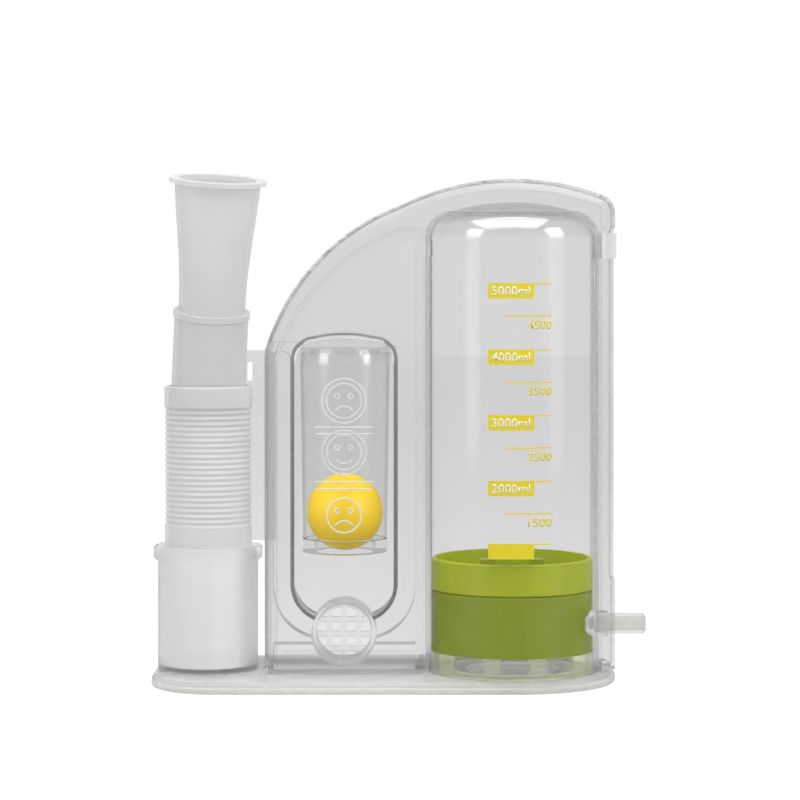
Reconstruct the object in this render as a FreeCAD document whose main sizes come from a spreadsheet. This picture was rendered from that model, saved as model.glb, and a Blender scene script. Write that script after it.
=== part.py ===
"""Volumetric incentive spirometer with a flow window, a volume cylinder and a breathing hose.

Row frame: +X to the right of the scale side, -Y towards the patient, +Z up.
The origin is the centre of the base's underside. All sizes are millimetres.
"""
import FreeCAD, Part
import math
import os
import re
import Sketcher

V = FreeCAD.Vector
doc = FreeCAD.newDocument("incentive_spirometer")
sheet = doc.addObject("Spreadsheet::Sheet", "Sheet")

SIZES = {
    # Base: a flat tray with a full round right end, closed by a plate
    "base_length": 154.6,
    "base_depth": 65.0,
    "base_height": 4.0,
    "base_corner": 22.0,
    "base_edge": 1.9,
    "base_lower_edge": 1.2,
    "base_wall": 1.8,
    "vent_radius": 16.0,
    "slot_inner": 5.0,
    "slot_outer": 14.0,
    "slot_width": 4.0,
    "plate_thickness": 1.4,
    "plate_clearance": 0.15,
    # Tube holder cup and the conical spigot on its floor
    "cup_offset": 59.2,
    "cup_radius": 16.8,
    "cup_wall": 1.5,
    "cup_floor": 1.6,
    "cup_height": 41.6,
    "collar_radius": 18.2,
    "collar_height": 5.4,
    "collar_edge": 0.6,
    "spigot_foot": 11.2,
    "spigot_top": 8.0,
    "spigot_height": 3.2,
    # Volume cylinder: straight wall, rounded shoulder, shallow dome
    "cylinder_offset": 42.8,
    "cylinder_radius": 29.2,
    "cylinder_wall": 1.7,
    "cylinder_straight": 144.5,
    "cylinder_shoulder": 9.0,
    "cylinder_dome": 2.9,
    "shell_clearance": 0.1,
    "outlet_width": 12.0,
    "outlet_height": 5.0,
    "outlet_rise": 138.6,
    # Air windows at the cylinder's foot
    "window_width": 9.4,
    "window_height": 5.0,
    "window_rise": 1.5,
    "window_pitch": 14.9,
    "window_round": 1.4,
    "ring_clearance": 0.1,
    "ring_wall": 2.6,
    "ring_height": 6.7,
    # Piston: a skirt and an open cup joined at a seam, with a clear bridge
    "piston_gap": 0.2,
    "piston_clearance": 0.5,
    "piston_wall": 1.6,
    "skirt_height": 20.0,
    "crown_height": 10.5,
    "crown_edge": 0.4,
    "seam_gap": 0.1,
    "seam_chamfer": 0.45,
    "bridge_radius": 12.0,
    "bridge_floor": 1.4,
    "bridge_post": 4.9,
    "bridge_reach": 8.2,
    "bridge_rise": 8.2,
    # Housing: two moulded shells that meet at the middle plane
    "house_left": 40.2,
    "house_margin": 5.3,
    "house_wall": 1.6,
    "house_bevel": 3.2,
    "front_level": 5.0,
    "rear_level": 8.0,
    "fin_corner": 110.5,
    "fin_end": 5.5,
    "fin_top": 159.6,
    "fin_radius": 74.7,
    "roof_low": 163.3,
    "roof_radius": 85.2,
    "roof_drop": 5.2,
    "roof_corner": 6.5,
    "track_depth": 0.5,
    "track_low": 34.0,
    "track_high": 152.0,
    # Flow bay: raised front panel with a U recess round the flow window
    "flow_centre": 13.3,
    "panel_level": 14.0,
    "panel_half": 25.3,
    "panel_half_right": 26.3,
    "panel_round": 2.0,
    "panel_top": 114.0,
    "tower_level": 9.0,
    "tower_left": 4.4,
    "tower_margin": 3.6,
    "tower_round": 9.5,
    "tower_drop": 0.8,
    "chamber_inset": 2.0,
    "chamber_bevel": 3.0,
    "chamber_top": 152.4,
    "bay_half": 23.6,
    "bay_bottom": 15.3,
    "bay_corner": 17.5,
    "bay_arm_right": 145.0,
    "arm_margin": 4.6,
    "arm_chamfer": 4.0,
    # Flow window: the clear bump in front of the ball
    "bump_half": 17.85,
    "bump_level": 17.0,
    "bump_bottom": 21.0,
    "bump_corner": 13.0,
    "bump_side": 108.0,
    "bump_shoulder": 8.0,
    "bump_crown": 42.0,
    "bump_edge": 2.6,
    "bump_wall": 1.5,
    "bump_clearance": 0.1,
    "rear_bay_level": 17.2,
    # Ball, its tapered tube, its seat and its stop
    "ball_radius": 12.8,
    "ball_rest": 56.7,
    "ball_travel": 40.0,
    "tube_centre": 0.2,
    "tube_running": 0.35,
    "tube_taper": 1.0,
    "tube_wall": 0.9,
    "tube_clearance": 0.3,
    "seat_bore": 9.5,
    "seat_height": 4.4,
    "stop_bar": 2.4,
    "stop_height": 1.6,
    # Inlet grille
    "grille_radius": 10.7,
    "grille_rise": 18.0,
    "grille_front": 18.4,
    "grille_back": 3.0,
    "grille_wall": 1.4,
    "grille_plate": 1.5,
    "grille_hole": 3.0,
    "grille_pitch": 4.8,
    "grille_border": 0.4,
    "grille_clearance": 0.1,
    # Side port
    "port_radius": 3.45,
    "port_bore": 2.0,
    "port_rise": 21.0,
    "port_setback": 14.0,
    "port_end": 86.3,
    "port_edge": 0.8,
    "port_collar": 4.3,
    "port_collar_end": 73.8,
    # Goal pointer clip on the tower's right edge
    "pointer_height": 8.6,
    "pointer_rise": 141.6,
    "pointer_wall": 0.8,
    "pointer_clearance": 0.12,
    "pointer_reach": 4.2,
    # Bracket beside the hose
    "bracket_reach": 9.8,
    "bracket_thickness": 1.6,
    "bracket_setback": 12.0,
    "bracket_top": 110.4,
    "bracket_gap": 0.3,
    "bracket_slot_width": 1.8,
    "bracket_slot_height": 6.4,
    "bracket_slot_in": 3.2,
    "bracket_slot_down": 10.4,
    # Breathing hose, folded up, and its two cuffs
    "hose_radius": 14.55,
    "hose_wall": 1.3,
    "hose_floor_gap": 0.2,
    "hose_top": 99.0,
    "lower_cuff_height": 15.0,
    "upper_cuff_height": 7.0,
    "cuff_wall": 1.5,
    "cuff_ease": 0.15,
    "cuff_edge": 0.5,
    "rib_pitch": 1.8,
    "rib_depth": 0.5,
    "rib_count": 22,
    # Connector and mouthpiece, leaning in the hose's mouth; the bearing runs from +X towards +Y
    "lean": 10.5,
    "lean_bearing": -71.6,
    "connector_radius": 12.35,
    "connector_bore": 11.05,
    "connector_low": 95.5,
    "connector_length": 29.1,
    "connector_lip": 0.45,
    "connector_lip_height": 2.0,
    "adapter_radius": 10.3,
    "adapter_bore": 9.2,
    "adapter_low": 86.0,
    "adapter_length": 23.0,
    "stem_radius": 11.0,
    "stem_bore": 9.6,
    "stem_insert": 13.5,
    "mouth_length": 44.5,
    "mouth_shoulder": 0.15,
    "mouth_half_width": 14.3,
    "mouth_half_depth": 9.6,
    "mouth_wall": 1.3,
    "lip_share": 0.97,
    "lip_reach": 1.8,
    "lip_thickness": 1.5,
}

# How far a half-circle's radius stays above half its chord
SLACK = 0.001
# How far a cutting tool passes the faces that it cuts
OVERSHOOT = 1.0
# Tangent of an eighth of a turn's half: how a 45-degree bevel's corner moves with an offset
BEVEL_TURN = 0.4142
# How far the roof's right corner moves left for each gap inwards
ROOF_SHIFT = 0.2

for row, (alias, size) in enumerate(SIZES.items(), start=1):
    sheet.set(f"A{row}", alias.replace("_", " "))
    sheet.set(f"B{row}", str(size))
    sheet.setAlias(f"B{row}", alias)
doc.recompute()


def bound(text):
    """The expression with every size's name pointing at its cell."""
    return re.sub(r"[a-z_]+", lambda m: f"Sheet.{m.group()}" if m.group() in SIZES else m.group(), text)


def number(text):
    """The value of an expression of sizes."""
    return float(sheet.evalExpression(bound(str(text))))


def tie(thing, **sizes):
    """Bind properties of a document object to expressions of sizes."""
    for name, text in sizes.items():
        thing.setExpression(name.replace("__", "."), bound(str(text)))


def arc_between(start, end, radius):
    """The shorter arc from start to end; a positive radius turns left, a negative one right."""
    chord = end - start
    left = V(-chord.y, chord.x, 0).normalize()
    rise = math.sqrt(max(radius ** 2 - (chord.Length / 2) ** 2, 0))
    centre = (start + end) * 0.5 + left * rise * math.copysign(1, radius)
    first, last = (start, end) if radius > 0 else (end, start)
    begin = math.atan2(first.y - centre.y, first.x - centre.x)
    finish = math.atan2(last.y - centre.y, last.x - centre.x)
    if finish < begin:
        finish += 2 * math.pi
    return Part.ArcOfCircle(Part.Circle(centre, V(0, 0, 1), abs(radius)), begin, finish)


def outline(sketch, corners):
    """Draw one closed outline whose corners, and arc radii, are bound to the sizes.

    A corner is (across, up), or (across, up, radius) where the side that ends there is an arc.
    """
    points = [V(number(corner[0]), number(corner[1]), 0) for corner in corners]
    sides = []
    for index in range(len(corners)):
        nxt = (index + 1) % len(corners)
        target = corners[nxt]
        if len(target) == 3:
            radius = number(target[2])
            side = sketch.addGeometry(arc_between(points[index], points[nxt], radius), False)
            ends = (1, 2) if radius > 0 else (2, 1)
            ring = sketch.addConstraint(Sketcher.Constraint("Radius", side, abs(radius)))
            sketch.setExpression(f"Constraints[{ring}]", bound(target[2].lstrip("-")))
        else:
            side = sketch.addGeometry(Part.LineSegment(points[index], points[nxt]), False)
            ends = (1, 2)
        sides.append((side, ends))
    for index, corner in enumerate(corners):
        side, ends = sides[index]
        before, before_ends = sides[index - 1]
        sketch.addConstraint(Sketcher.Constraint("Coincident", before, before_ends[1], side, ends[0]))
        for kind, text, size in (("DistanceX", corner[0], points[index].x), ("DistanceY", corner[1], points[index].y)):
            mark = sketch.addConstraint(Sketcher.Constraint(kind, -1, 1, side, ends[0], size))
            sketch.setExpression(f"Constraints[{mark}]", bound(str(text)))


def circle(sketch, across, up, radius):
    """Draw one circle whose centre and radius are bound to the sizes."""
    centre = V(number(across), number(up), 0)
    ring = sketch.addGeometry(Part.Circle(centre, V(0, 0, 1), number(radius)), False)
    for kind, text, size in (("DistanceX", across, centre.x), ("DistanceY", up, centre.y)):
        mark = sketch.addConstraint(Sketcher.Constraint(kind, -1, 1, ring, 3, size))
        sketch.setExpression(f"Constraints[{mark}]", bound(str(text)))
    mark = sketch.addConstraint(Sketcher.Constraint("Radius", ring, number(radius)))
    sketch.setExpression(f"Constraints[{mark}]", bound(str(radius)))


def new_body(label):
    """An empty body for one sub-part."""
    body = doc.addObject("PartDesign::Body", f"{label}_body")
    body.Label = label
    return body


def body_sketch(body, role, name):
    """A sketch on one of the body's own origin planes."""
    plane = next(item for item in body.Origin.OriginFeatures if item.Role == role)
    sketch = body.newObject("Sketcher::SketchObject", name)
    sketch.AttachmentSupport = [(plane, "")]
    sketch.MapMode = "FlatFace"
    return sketch


def free_sketch(name, facing_front=True):
    """A sketch in the middle plane (front view), or in the ground plane."""
    sketch = doc.addObject("Sketcher::SketchObject", name)
    if facing_front:
        sketch.Placement = FreeCAD.Placement(V(0, 0, 0), FreeCAD.Rotation(V(1, 0, 0), 90))
    return sketch


def turned(label, corners, across="0", back="0"):
    """A body turned about an upright axis from one half profile of (radius, height) corners."""
    body = new_body(label)
    sketch = body_sketch(body, "XZ_Plane", f"{label}_profile")
    outline(sketch, corners)
    turn = body.newObject("PartDesign::Revolution", f"{label}_turn")
    turn.Profile = sketch
    turn.ReferenceAxis = (sketch, ["V_Axis"])
    turn.Angle = 360
    sketch.Visibility = False
    tie(body, Placement__Base__x=across, Placement__Base__y=back)
    return body


def pocket(body, sketch, length, name, both=False, reverse=False):
    """Cut a sketched shape out of the body."""
    cut = body.newObject("PartDesign::Pocket", name)
    cut.Profile = sketch
    cut.Reversed = reverse
    cut.Midplane = both
    tie(cut, Length=length)
    return cut


def pad(body, sketch, length, name, reverse=False):
    """Raise a sketched shape of the body."""
    raised = body.newObject("PartDesign::Pad", name)
    raised.Profile = sketch
    raised.Reversed = reverse
    tie(raised, Length=length)
    return raised


def extrude(sketch, forward, name, direction=V(0, -1, 0), start="0"):
    """A solid from a closed sketch, raised along a direction after a start offset along +Y."""
    block = doc.addObject("Part::Extrusion", name)
    block.Base = sketch
    block.DirMode = "Custom"
    block.Dir = direction
    block.Solid = True
    tie(block, LengthFwd=forward, Placement__Base__y=start)
    return block


def loft(sections, name, ruled=False):
    """A solid through the sections, smooth or with straight sides."""
    solid = doc.addObject("Part::Loft", name)
    solid.Sections = sections
    solid.Solid = True
    solid.Ruled = ruled
    return solid


def fuse(pieces, name):
    """Join solids into one."""
    joined = doc.addObject("Part::MultiFuse", name)
    joined.Shapes = pieces
    joined.Refine = True
    return joined


def cut(base, tools, name):
    """Cut the tools out of the base, one after the other."""
    for index, tool in enumerate(tools):
        last = index == len(tools) - 1
        step = doc.addObject("Part::Cut", name if last else f"{name}_cut_{index}")
        step.Base = base
        step.Tool = tool
        step.Refine = False
        base = step
    return base


def box(name, low, size):
    """A box with bound corner and sides."""
    block = doc.addObject("Part::Box", name)
    tie(block, Placement__Base__x=low[0], Placement__Base__y=low[1], Placement__Base__z=low[2])
    tie(block, Length=size[0], Width=size[1], Height=size[2])
    return block


def rod(name, radius, length, place, axis):
    """A round bar along X, Y or Z from a bound place."""
    turns = {"X": FreeCAD.Rotation(V(0, 1, 0), 90), "Y": FreeCAD.Rotation(V(1, 0, 0), -90), "Z": FreeCAD.Rotation()}
    bar = doc.addObject("Part::Cylinder", name)
    bar.Placement = FreeCAD.Placement(V(0, 0, 0), turns[axis])
    tie(bar, Radius=radius, Height=length)
    tie(bar, Placement__Base__x=place[0], Placement__Base__y=place[1], Placement__Base__z=place[2])
    return bar


def face_at(shape, axis, level):
    """Name of the flat face that lies in the plane where the given axis has this level."""
    for index, face in enumerate(shape.Faces, start=1):
        bounds = face.BoundBox
        if abs(getattr(bounds, f"{axis}Min") - level) < 1e-3 and abs(getattr(bounds, f"{axis}Max") - level) < 1e-3:
            return f"Face{index}"
    raise RuntimeError(f"no face at {axis} = {level}")


def soften(body, feature, face, size, kind, name):
    """Fillet or chamfer every edge round one face of a body's feature."""
    edge = body.newObject(f"PartDesign::{kind}", name)
    edge.Base = (feature, [face])
    tie(edge, **{"Radius" if kind == "Fillet" else "Size": size})
    return edge


parts = {}


def base_outline(sketch, gap):
    """The base's plan view, moved inwards by a gap: round right end, two rounded left corners."""
    half = f"base_length / 2 - ({gap})"
    side = f"base_depth / 2 - ({gap})"
    corner = f"base_corner - ({gap})"
    outline(sketch, [
        (f"-({half}) + ({corner})", f"-({side})", corner),
        (f"{half} - ({side})", f"-({side})"),
        (half, "0", side),
        (f"{half} - ({side})", side, side),
        (f"-({half}) + ({corner})", side),
        (f"-({half})", f"{side} - ({corner})", corner),
        (f"-({half})", f"-({side}) + ({corner})"),
    ])


# Base tray, open below, with an air hole under the cylinder
tray = new_body("base_tray")
plan = body_sketch(tray, "XY_Plane", "tray_plan")
base_outline(plan, "0")
slab = pad(tray, plan, "base_height", "tray_pad")
doc.recompute()
soften(tray, slab, face_at(slab.Shape, "Z", number("base_height")), "base_edge", "Fillet", "tray_upper_edge")
doc.recompute()
rim = tray.Tip
soften(tray, rim, face_at(rim.Shape, "Z", 0), "base_lower_edge", "Fillet", "tray_lower_edge")
hollow = body_sketch(tray, "XY_Plane", "tray_hollow")
base_outline(hollow, "base_wall")
pocket(tray, hollow, "base_height - base_wall", "tray_pocket", reverse=True)
vent = body_sketch(tray, "XY_Plane", "tray_vent")
circle(vent, "cylinder_offset", "0", "vent_radius")
pocket(tray, vent, "base_height", "tray_vent_cut", reverse=True)
parts["base_tray"] = tray

# Bottom plate, flush with the tray's rim, with radial air slots under the cylinder
plate = new_body("bottom_plate")
plate_plan = body_sketch(plate, "XY_Plane", "plate_plan")
base_outline(plate_plan, "base_wall + plate_clearance")
pad(plate, plate_plan, "plate_thickness", "plate_pad")
slot = body_sketch(plate, "XY_Plane", "plate_slot")
outline(slot, [
    ("cylinder_offset + slot_inner", "-slot_width / 2"),
    ("cylinder_offset + slot_outer", "-slot_width / 2"),
    ("cylinder_offset + slot_outer", "slot_width / 2", f"slot_width / 2 + {SLACK}"),
    ("cylinder_offset + slot_inner", "slot_width / 2"),
])
pocket(plate, slot, "plate_thickness", "plate_slot_cut", reverse=True)
parts["bottom_plate"] = plate

# Tube holder cup with its collar and the spigot that the hose seats on
parts["holder_cup"] = turned("holder_cup", [
    ("0", "base_height"),
    ("cup_radius", "base_height"),
    ("cup_radius", "base_height + cup_height - collar_height"),
    ("collar_radius", "base_height + cup_height - collar_height + (collar_radius - cup_radius)"),
    ("collar_radius", "base_height + cup_height - collar_edge"),
    ("collar_radius - collar_edge", "base_height + cup_height"),
    ("cup_radius - cup_wall", "base_height + cup_height"),
    ("cup_radius - cup_wall", "base_height + cup_floor"),
    ("spigot_foot", "base_height + cup_floor"),
    ("spigot_top", "base_height + cup_floor + spigot_height"),
    ("0", "base_height + cup_floor + spigot_height"),
], across="-cup_offset")


DOME_RADIUS = "((cylinder_radius - cylinder_shoulder) ^ 2 + cylinder_dome ^ 2) / (2 * cylinder_dome)"


def cylinder_profile(growth, wall=None):
    """Half profile of the volume cylinder, grown outwards; solid when no wall is given."""
    shoulder = "base_height + cylinder_straight"
    outer = [
        (f"cylinder_radius + {growth}", "base_height"),
        (f"cylinder_radius + {growth}", shoulder),
        (f"cylinder_radius - cylinder_shoulder", f"{shoulder} + cylinder_shoulder + {growth}",
         f"cylinder_shoulder + {growth}"),
        ("0", f"{shoulder} + cylinder_shoulder + cylinder_dome + {growth}", DOME_RADIUS),
    ]
    if wall is None:
        return [("0", "base_height")] + outer
    inner = [
        ("0", f"{shoulder} + cylinder_shoulder + cylinder_dome - {wall}"),
        (f"cylinder_radius - cylinder_shoulder", f"{shoulder} + cylinder_shoulder - {wall}",
         f"-{DOME_RADIUS}"),
        (f"cylinder_radius - {wall}", shoulder, f"-(cylinder_shoulder - {wall})"),
        (f"cylinder_radius - {wall}", "base_height"),
    ]
    return outer + inner


def foot_windows(body, name):
    """Three rounded windows cut straight through the front and rear of the cylinder's foot."""
    sketch = body_sketch(body, "XZ_Plane", name)
    low = "base_height + window_rise"
    high = "base_height + window_rise + window_height"
    for step in (-1, 0, 1):
        centre = f"{step} * window_pitch"
        left = f"{centre} - window_width / 2"
        right = f"{centre} + window_width / 2"
        outline(sketch, [
            (f"{left} + window_round", low, "window_round"),
            (f"{right} - window_round", low),
            (right, f"{low} + window_round", "window_round"),
            (right, f"{high} - window_round"),
            (f"{right} - window_round", high, "window_round"),
            (f"{left} + window_round", high),
            (left, f"{high} - window_round", "window_round"),
            (left, f"{low} + window_round"),
        ])
    pocket(body, sketch, "3 * cylinder_radius", f"{name}_cut", both=True)


# Volume cylinder with foot windows, the air outlet near its top and the side port's hole
cylinder = turned("volume_cylinder", cylinder_profile("0", "cylinder_wall"), across="cylinder_offset")
foot_windows(cylinder, "cylinder_windows")
outlet = body_sketch(cylinder, "YZ_Plane", "cylinder_outlet")
outline(outlet, [
    ("-outlet_width / 2", "base_height + outlet_rise"),
    ("outlet_width / 2", "base_height + outlet_rise"),
    ("outlet_width / 2", "base_height + outlet_rise + outlet_height"),
    ("-outlet_width / 2", "base_height + outlet_rise + outlet_height"),
])
pocket(cylinder, outlet, "1.5 * cylinder_radius", "cylinder_outlet_cut")
port_hole = body_sketch(cylinder, "YZ_Plane", "cylinder_port_hole")
circle(port_hole, "-port_setback", "port_rise", "port_bore")
pocket(cylinder, port_hole, "1.5 * cylinder_radius", "cylinder_port_cut", reverse=True)
parts["volume_cylinder"] = cylinder

# Rest ring at the cylinder's foot, with the same windows
ring = turned("air_inlet_ring", [
    ("cylinder_radius - cylinder_wall - ring_clearance - ring_wall", "base_height"),
    ("cylinder_radius - cylinder_wall - ring_clearance", "base_height"),
    ("cylinder_radius - cylinder_wall - ring_clearance", "base_height + ring_height"),
    ("cylinder_radius - cylinder_wall - ring_clearance - ring_wall", "base_height + ring_height"),
], across="cylinder_offset")
foot_windows(ring, "ring_windows")
parts["air_inlet_ring"] = ring

# Piston: hollow skirt, open crown and the clear bridge inside the crown
piston_radius = "(cylinder_radius - cylinder_wall - piston_clearance)"
piston_low = "base_height + ring_height + piston_gap"
seam = f"{piston_low} + skirt_height"
crown_low = f"{seam} + seam_gap"
crown_top = f"{crown_low} + crown_height"
parts["piston_skirt"] = turned("piston_skirt", [
    (f"{piston_radius} - piston_wall", piston_low),
    (piston_radius, piston_low),
    (piston_radius, f"{seam} - seam_chamfer"),
    (f"{piston_radius} - seam_chamfer", seam),
    ("0", seam),
    ("0", f"{seam} - piston_wall"),
    (f"{piston_radius} - piston_wall", f"{seam} - piston_wall"),
], across="cylinder_offset")
parts["piston_crown"] = turned("piston_crown", [
    ("0", crown_low),
    (f"{piston_radius} - seam_chamfer", crown_low),
    (piston_radius, f"{crown_low} + seam_chamfer"),
    (piston_radius, f"{crown_top} - crown_edge"),
    (f"{piston_radius} - crown_edge", crown_top),
    (f"{piston_radius} - piston_wall", crown_top),
    (f"{piston_radius} - piston_wall", f"{crown_low} + piston_wall"),
    ("0", f"{crown_low} + piston_wall"),
], across="cylinder_offset")
bridge = turned("piston_bridge", [
    ("0", f"{crown_low} + piston_wall"),
    ("bridge_radius", f"{crown_low} + piston_wall"),
    ("bridge_radius", f"{crown_low} + piston_wall + bridge_floor"),
    ("0", f"{crown_low} + piston_wall + bridge_floor"),
], across="cylinder_offset")
posts = body_sketch(bridge, "XZ_Plane", "bridge_posts")
for side in (-1, 1):
    left = f"{side} * bridge_reach - bridge_post / 2"
    right = f"{side} * bridge_reach + bridge_post / 2"
    low = f"{crown_low} + piston_wall + bridge_floor / 2"
    high = f"{crown_low} + piston_wall + bridge_rise"
    outline(posts, [(left, low), (right, low), (right, high), (left, high)])
raised = pad(bridge, posts, "bridge_post", "bridge_post_pad")
raised.Midplane = True
parts["piston_bridge"] = bridge

# Housing outline in the front view: fin arc, roof arc, pointer track
house_right = "(cylinder_offset + cylinder_radius + house_margin)"


def house_outline(sketch, gap="0"):
    """The outline that both shells share, or one a gap further in, from the lower left."""
    right = f"{house_right} - {gap}"
    recess = f"{house_right} - track_depth - {gap}"
    outline(sketch, [
        (f"-house_left + {gap}", f"base_height + {gap}"),
        (right, f"base_height + {gap}"),
        (right, "track_low"),
        (recess, "track_low + track_depth"),
        (recess, "track_high - track_depth"),
        (right, "track_high"),
        (right, "roof_low - roof_corner"),
        (f"{house_right} - roof_drop - {gap} * {ROOF_SHIFT}", f"roof_low - {gap}", f"roof_corner - {gap}"),
        ("fin_end", f"fin_top - {gap}", f"roof_radius - {gap}"),
        (f"-house_left + {gap}", "fin_corner", f"fin_radius - {gap}"),
    ])


def cylinder_space(name):
    """The volume cylinder's outside, grown by the clearance round it."""
    return turned(name, cylinder_profile("shell_clearance"), across="cylinder_offset")


def bevelled(draw, level, bevel, name, side, gap="0"):
    """A slab from the middle plane to a level, with a bevel all round its face."""
    plan = free_sketch(f"{name}_plan")
    draw(plan, gap)
    edge = free_sketch(f"{name}_edge")
    draw(edge, gap)
    tie(edge, Placement__Base__y=f"{side} * ({level} - {bevel})")
    face = free_sketch(f"{name}_face")
    draw(face, f"({gap} + {bevel})")
    tie(face, Placement__Base__y=f"{side} * {level}")
    slab = extrude(plan, f"{level} - {bevel}", f"{name}_slab", direction=V(0, side, 0))
    return fuse([slab, loft([edge, face], f"{name}_rim", ruled=True)], name)


def hollow(draw, level, bevel, name, side):
    """The room inside a bevelled slab, one wall in from every face but the open one."""
    inner_bevel = f"({bevel} - (2 - sqrt(2)) * house_wall)"
    return bevelled(draw, f"({level} - house_wall)", inner_bevel, name, side, "house_wall")


def panel_outline(sketch):
    """The raised front panel under and beside the flow window, with its arm beside the cylinder."""
    left = "-flow_centre - panel_half"
    right = "-flow_centre + panel_half_right"
    arm_low = "panel_top"
    outline(sketch, [
        (left, "base_height"),
        (right, "base_height"),
        (right, "bay_arm_right + arm_margin"),
        ("-flow_centre + bump_half", "bay_arm_right + arm_margin"),
        ("-flow_centre + bump_half", "bump_side + arm_chamfer"),
        ("-flow_centre + bump_half - arm_chamfer", arm_low),
        ("-flow_centre - bump_half + arm_chamfer", arm_low),
        (f"{left} + panel_round", arm_low),
        (left, f"{arm_low} - panel_round", "panel_round"),
    ])


def bay_outline(sketch):
    """The U recess round the flow window, closed at the top of both arms."""
    left = "-flow_centre - bay_half"
    right = "-flow_centre + bay_half"
    bump_left = "-flow_centre - bump_half"
    bump_right = "-flow_centre + bump_half"
    arm = "(bay_half - bump_half) / 2"
    outline(sketch, [
        (f"{left} + bay_corner", "bay_bottom", "bay_corner"),
        (f"{right} - bay_corner", "bay_bottom"),
        (right, "bay_bottom + bay_corner", "bay_corner"),
        (right, "bay_arm_right"),
        (bump_right, "bay_arm_right", f"{arm} + {SLACK}"),
        (bump_right, "bump_side"),
        (bump_left, "bump_side"),
        (left, "bump_side", f"{arm} + {SLACK}"),
        (left, "bay_bottom + bay_corner"),
    ])


def bump_outline(sketch, gap):
    """The flow window in front view, moved inwards by a gap: round foot, arched crown."""
    left = f"-flow_centre - bump_half + {gap}"
    right = f"-flow_centre + bump_half - {gap}"
    crown_left = f"-flow_centre - bump_half + bump_shoulder"
    crown_right = f"-flow_centre + bump_half - bump_shoulder"
    outline(sketch, [
        (f"-flow_centre - bump_half + bump_corner", f"bump_bottom + {gap}", f"bump_corner - {gap}"),
        (f"-flow_centre + bump_half - bump_corner", f"bump_bottom + {gap}"),
        (right, "bump_bottom + bump_corner", f"bump_corner - {gap}"),
        (right, "bump_side"),
        (crown_right, f"bump_side + bump_shoulder - {gap}", f"bump_shoulder - {gap}"),
        (crown_left, f"bump_side + bump_shoulder - {gap}", f"bump_crown - {gap}"),
        (left, "bump_side", f"bump_shoulder - {gap}"),
        (left, "bump_bottom + bump_corner"),
    ])


# Front shell: bevelled tray, raised tower face, raised flow panel with its U recess
front = bevelled(house_outline, "front_level", "house_bevel", "front_form", -1)
tower = free_sketch("tower_face")
tower_top = "roof_low - tower_margin"
tower_right = f"{house_right} - track_depth - pointer_reach - bracket_gap"
outline(tower, [
    ("tower_left", "base_height"),
    (tower_right, "base_height"),
    (tower_right, f"{tower_top} - tower_drop"),
    ("tower_left + tower_round", tower_top, "roof_radius"),
    ("tower_left", f"{tower_top} - tower_round", "tower_round"),
])
panel = free_sketch("panel_face")
panel_outline(panel)
bay = free_sketch("bay_recess")
bay_outline(bay)
opening = free_sketch("bump_opening")
bump_outline(opening, "bump_wall")
grille_hole = rod("grille_hole", "grille_radius + grille_clearance", "grille_front + grille_back",
                  ("-flow_centre", "-grille_front", "grille_rise"), "Y")
bump_seat = free_sketch("bump_seat")
bump_outline(bump_seat, "0")
raised_faces = cut(
    fuse([extrude(tower, "tower_level", "tower_block"), extrude(panel, "panel_level", "panel_block")], "raised_block"),
    [fuse([
        extrude(bay, "panel_level", "bay_cut", start="-front_level"),
        extrude(bump_seat, "panel_level", "bump_seat_cut", start="-front_level"),
    ], "recesses")],
    "raised_faces")
front_space = cylinder_space("front_cylinder_space")
front_void = hollow(house_outline, "front_level", "house_bevel", "front_void", -1)
front_hollow = cut(front, [front_space, front_void], "front_hollow")
raised_hollow = cut(raised_faces, [front_space, front_void], "raised_hollow")
panel_void = box("panel_void",
                 ("-flow_centre - bay_half", "-(panel_level - house_wall)", "base_height + house_wall"),
                 ("2 * bay_half", "panel_level", "bay_bottom - base_height - 2 * house_wall"))
window_opening = extrude(opening, "2 * front_level", "opening_cut", start="front_level / 2")
parts["front_shell"] = cut(fuse([front_hollow, raised_hollow], "front_solid"),
                           [window_opening, grille_hole, panel_void], "front_shell")

# Rear shell: bevelled tray with a deeper chamber behind the ball
chamber_left = "-(house_left - chamber_inset)"
chamber_right = "-flow_centre + panel_half_right"


def chamber_outline(sketch, gap="0"):
    """The deeper rear chamber, under the fin's arc, or its room a gap further in."""
    top = f"chamber_top - {gap}"
    outline(sketch, [
        (f"{chamber_left} + {gap}", f"base_height + {gap}"),
        (f"{chamber_right} - {gap}", f"base_height + {gap}"),
        (f"{chamber_right} - {gap}", top),
        ("fin_end", top),
        (f"{chamber_left} + {gap}", "fin_corner - house_bevel", f"fin_radius - house_bevel - {gap}"),
    ])


rear = fuse([
    bevelled(house_outline, "rear_level", "house_bevel", "rear_form", 1),
    bevelled(chamber_outline, "rear_bay_level", "chamber_bevel", "chamber_form", 1),
], "rear_solid")
parts["rear_shell"] = cut(rear, [
    cylinder_space("rear_cylinder_space"),
    fuse([
        hollow(house_outline, "rear_level", "house_bevel", "rear_void", 1),
        hollow(chamber_outline, "rear_bay_level", "chamber_bevel", "chamber_void", 1),
    ], "rear_tools"),
], "rear_shell")


def raised_sketch(body, name, level):
    """A front-view sketch in a plane in front of the middle plane."""
    sketch = body_sketch(body, "XZ_Plane", name)
    tie(sketch, AttachmentOffset__Base__z=level)
    return sketch


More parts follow.
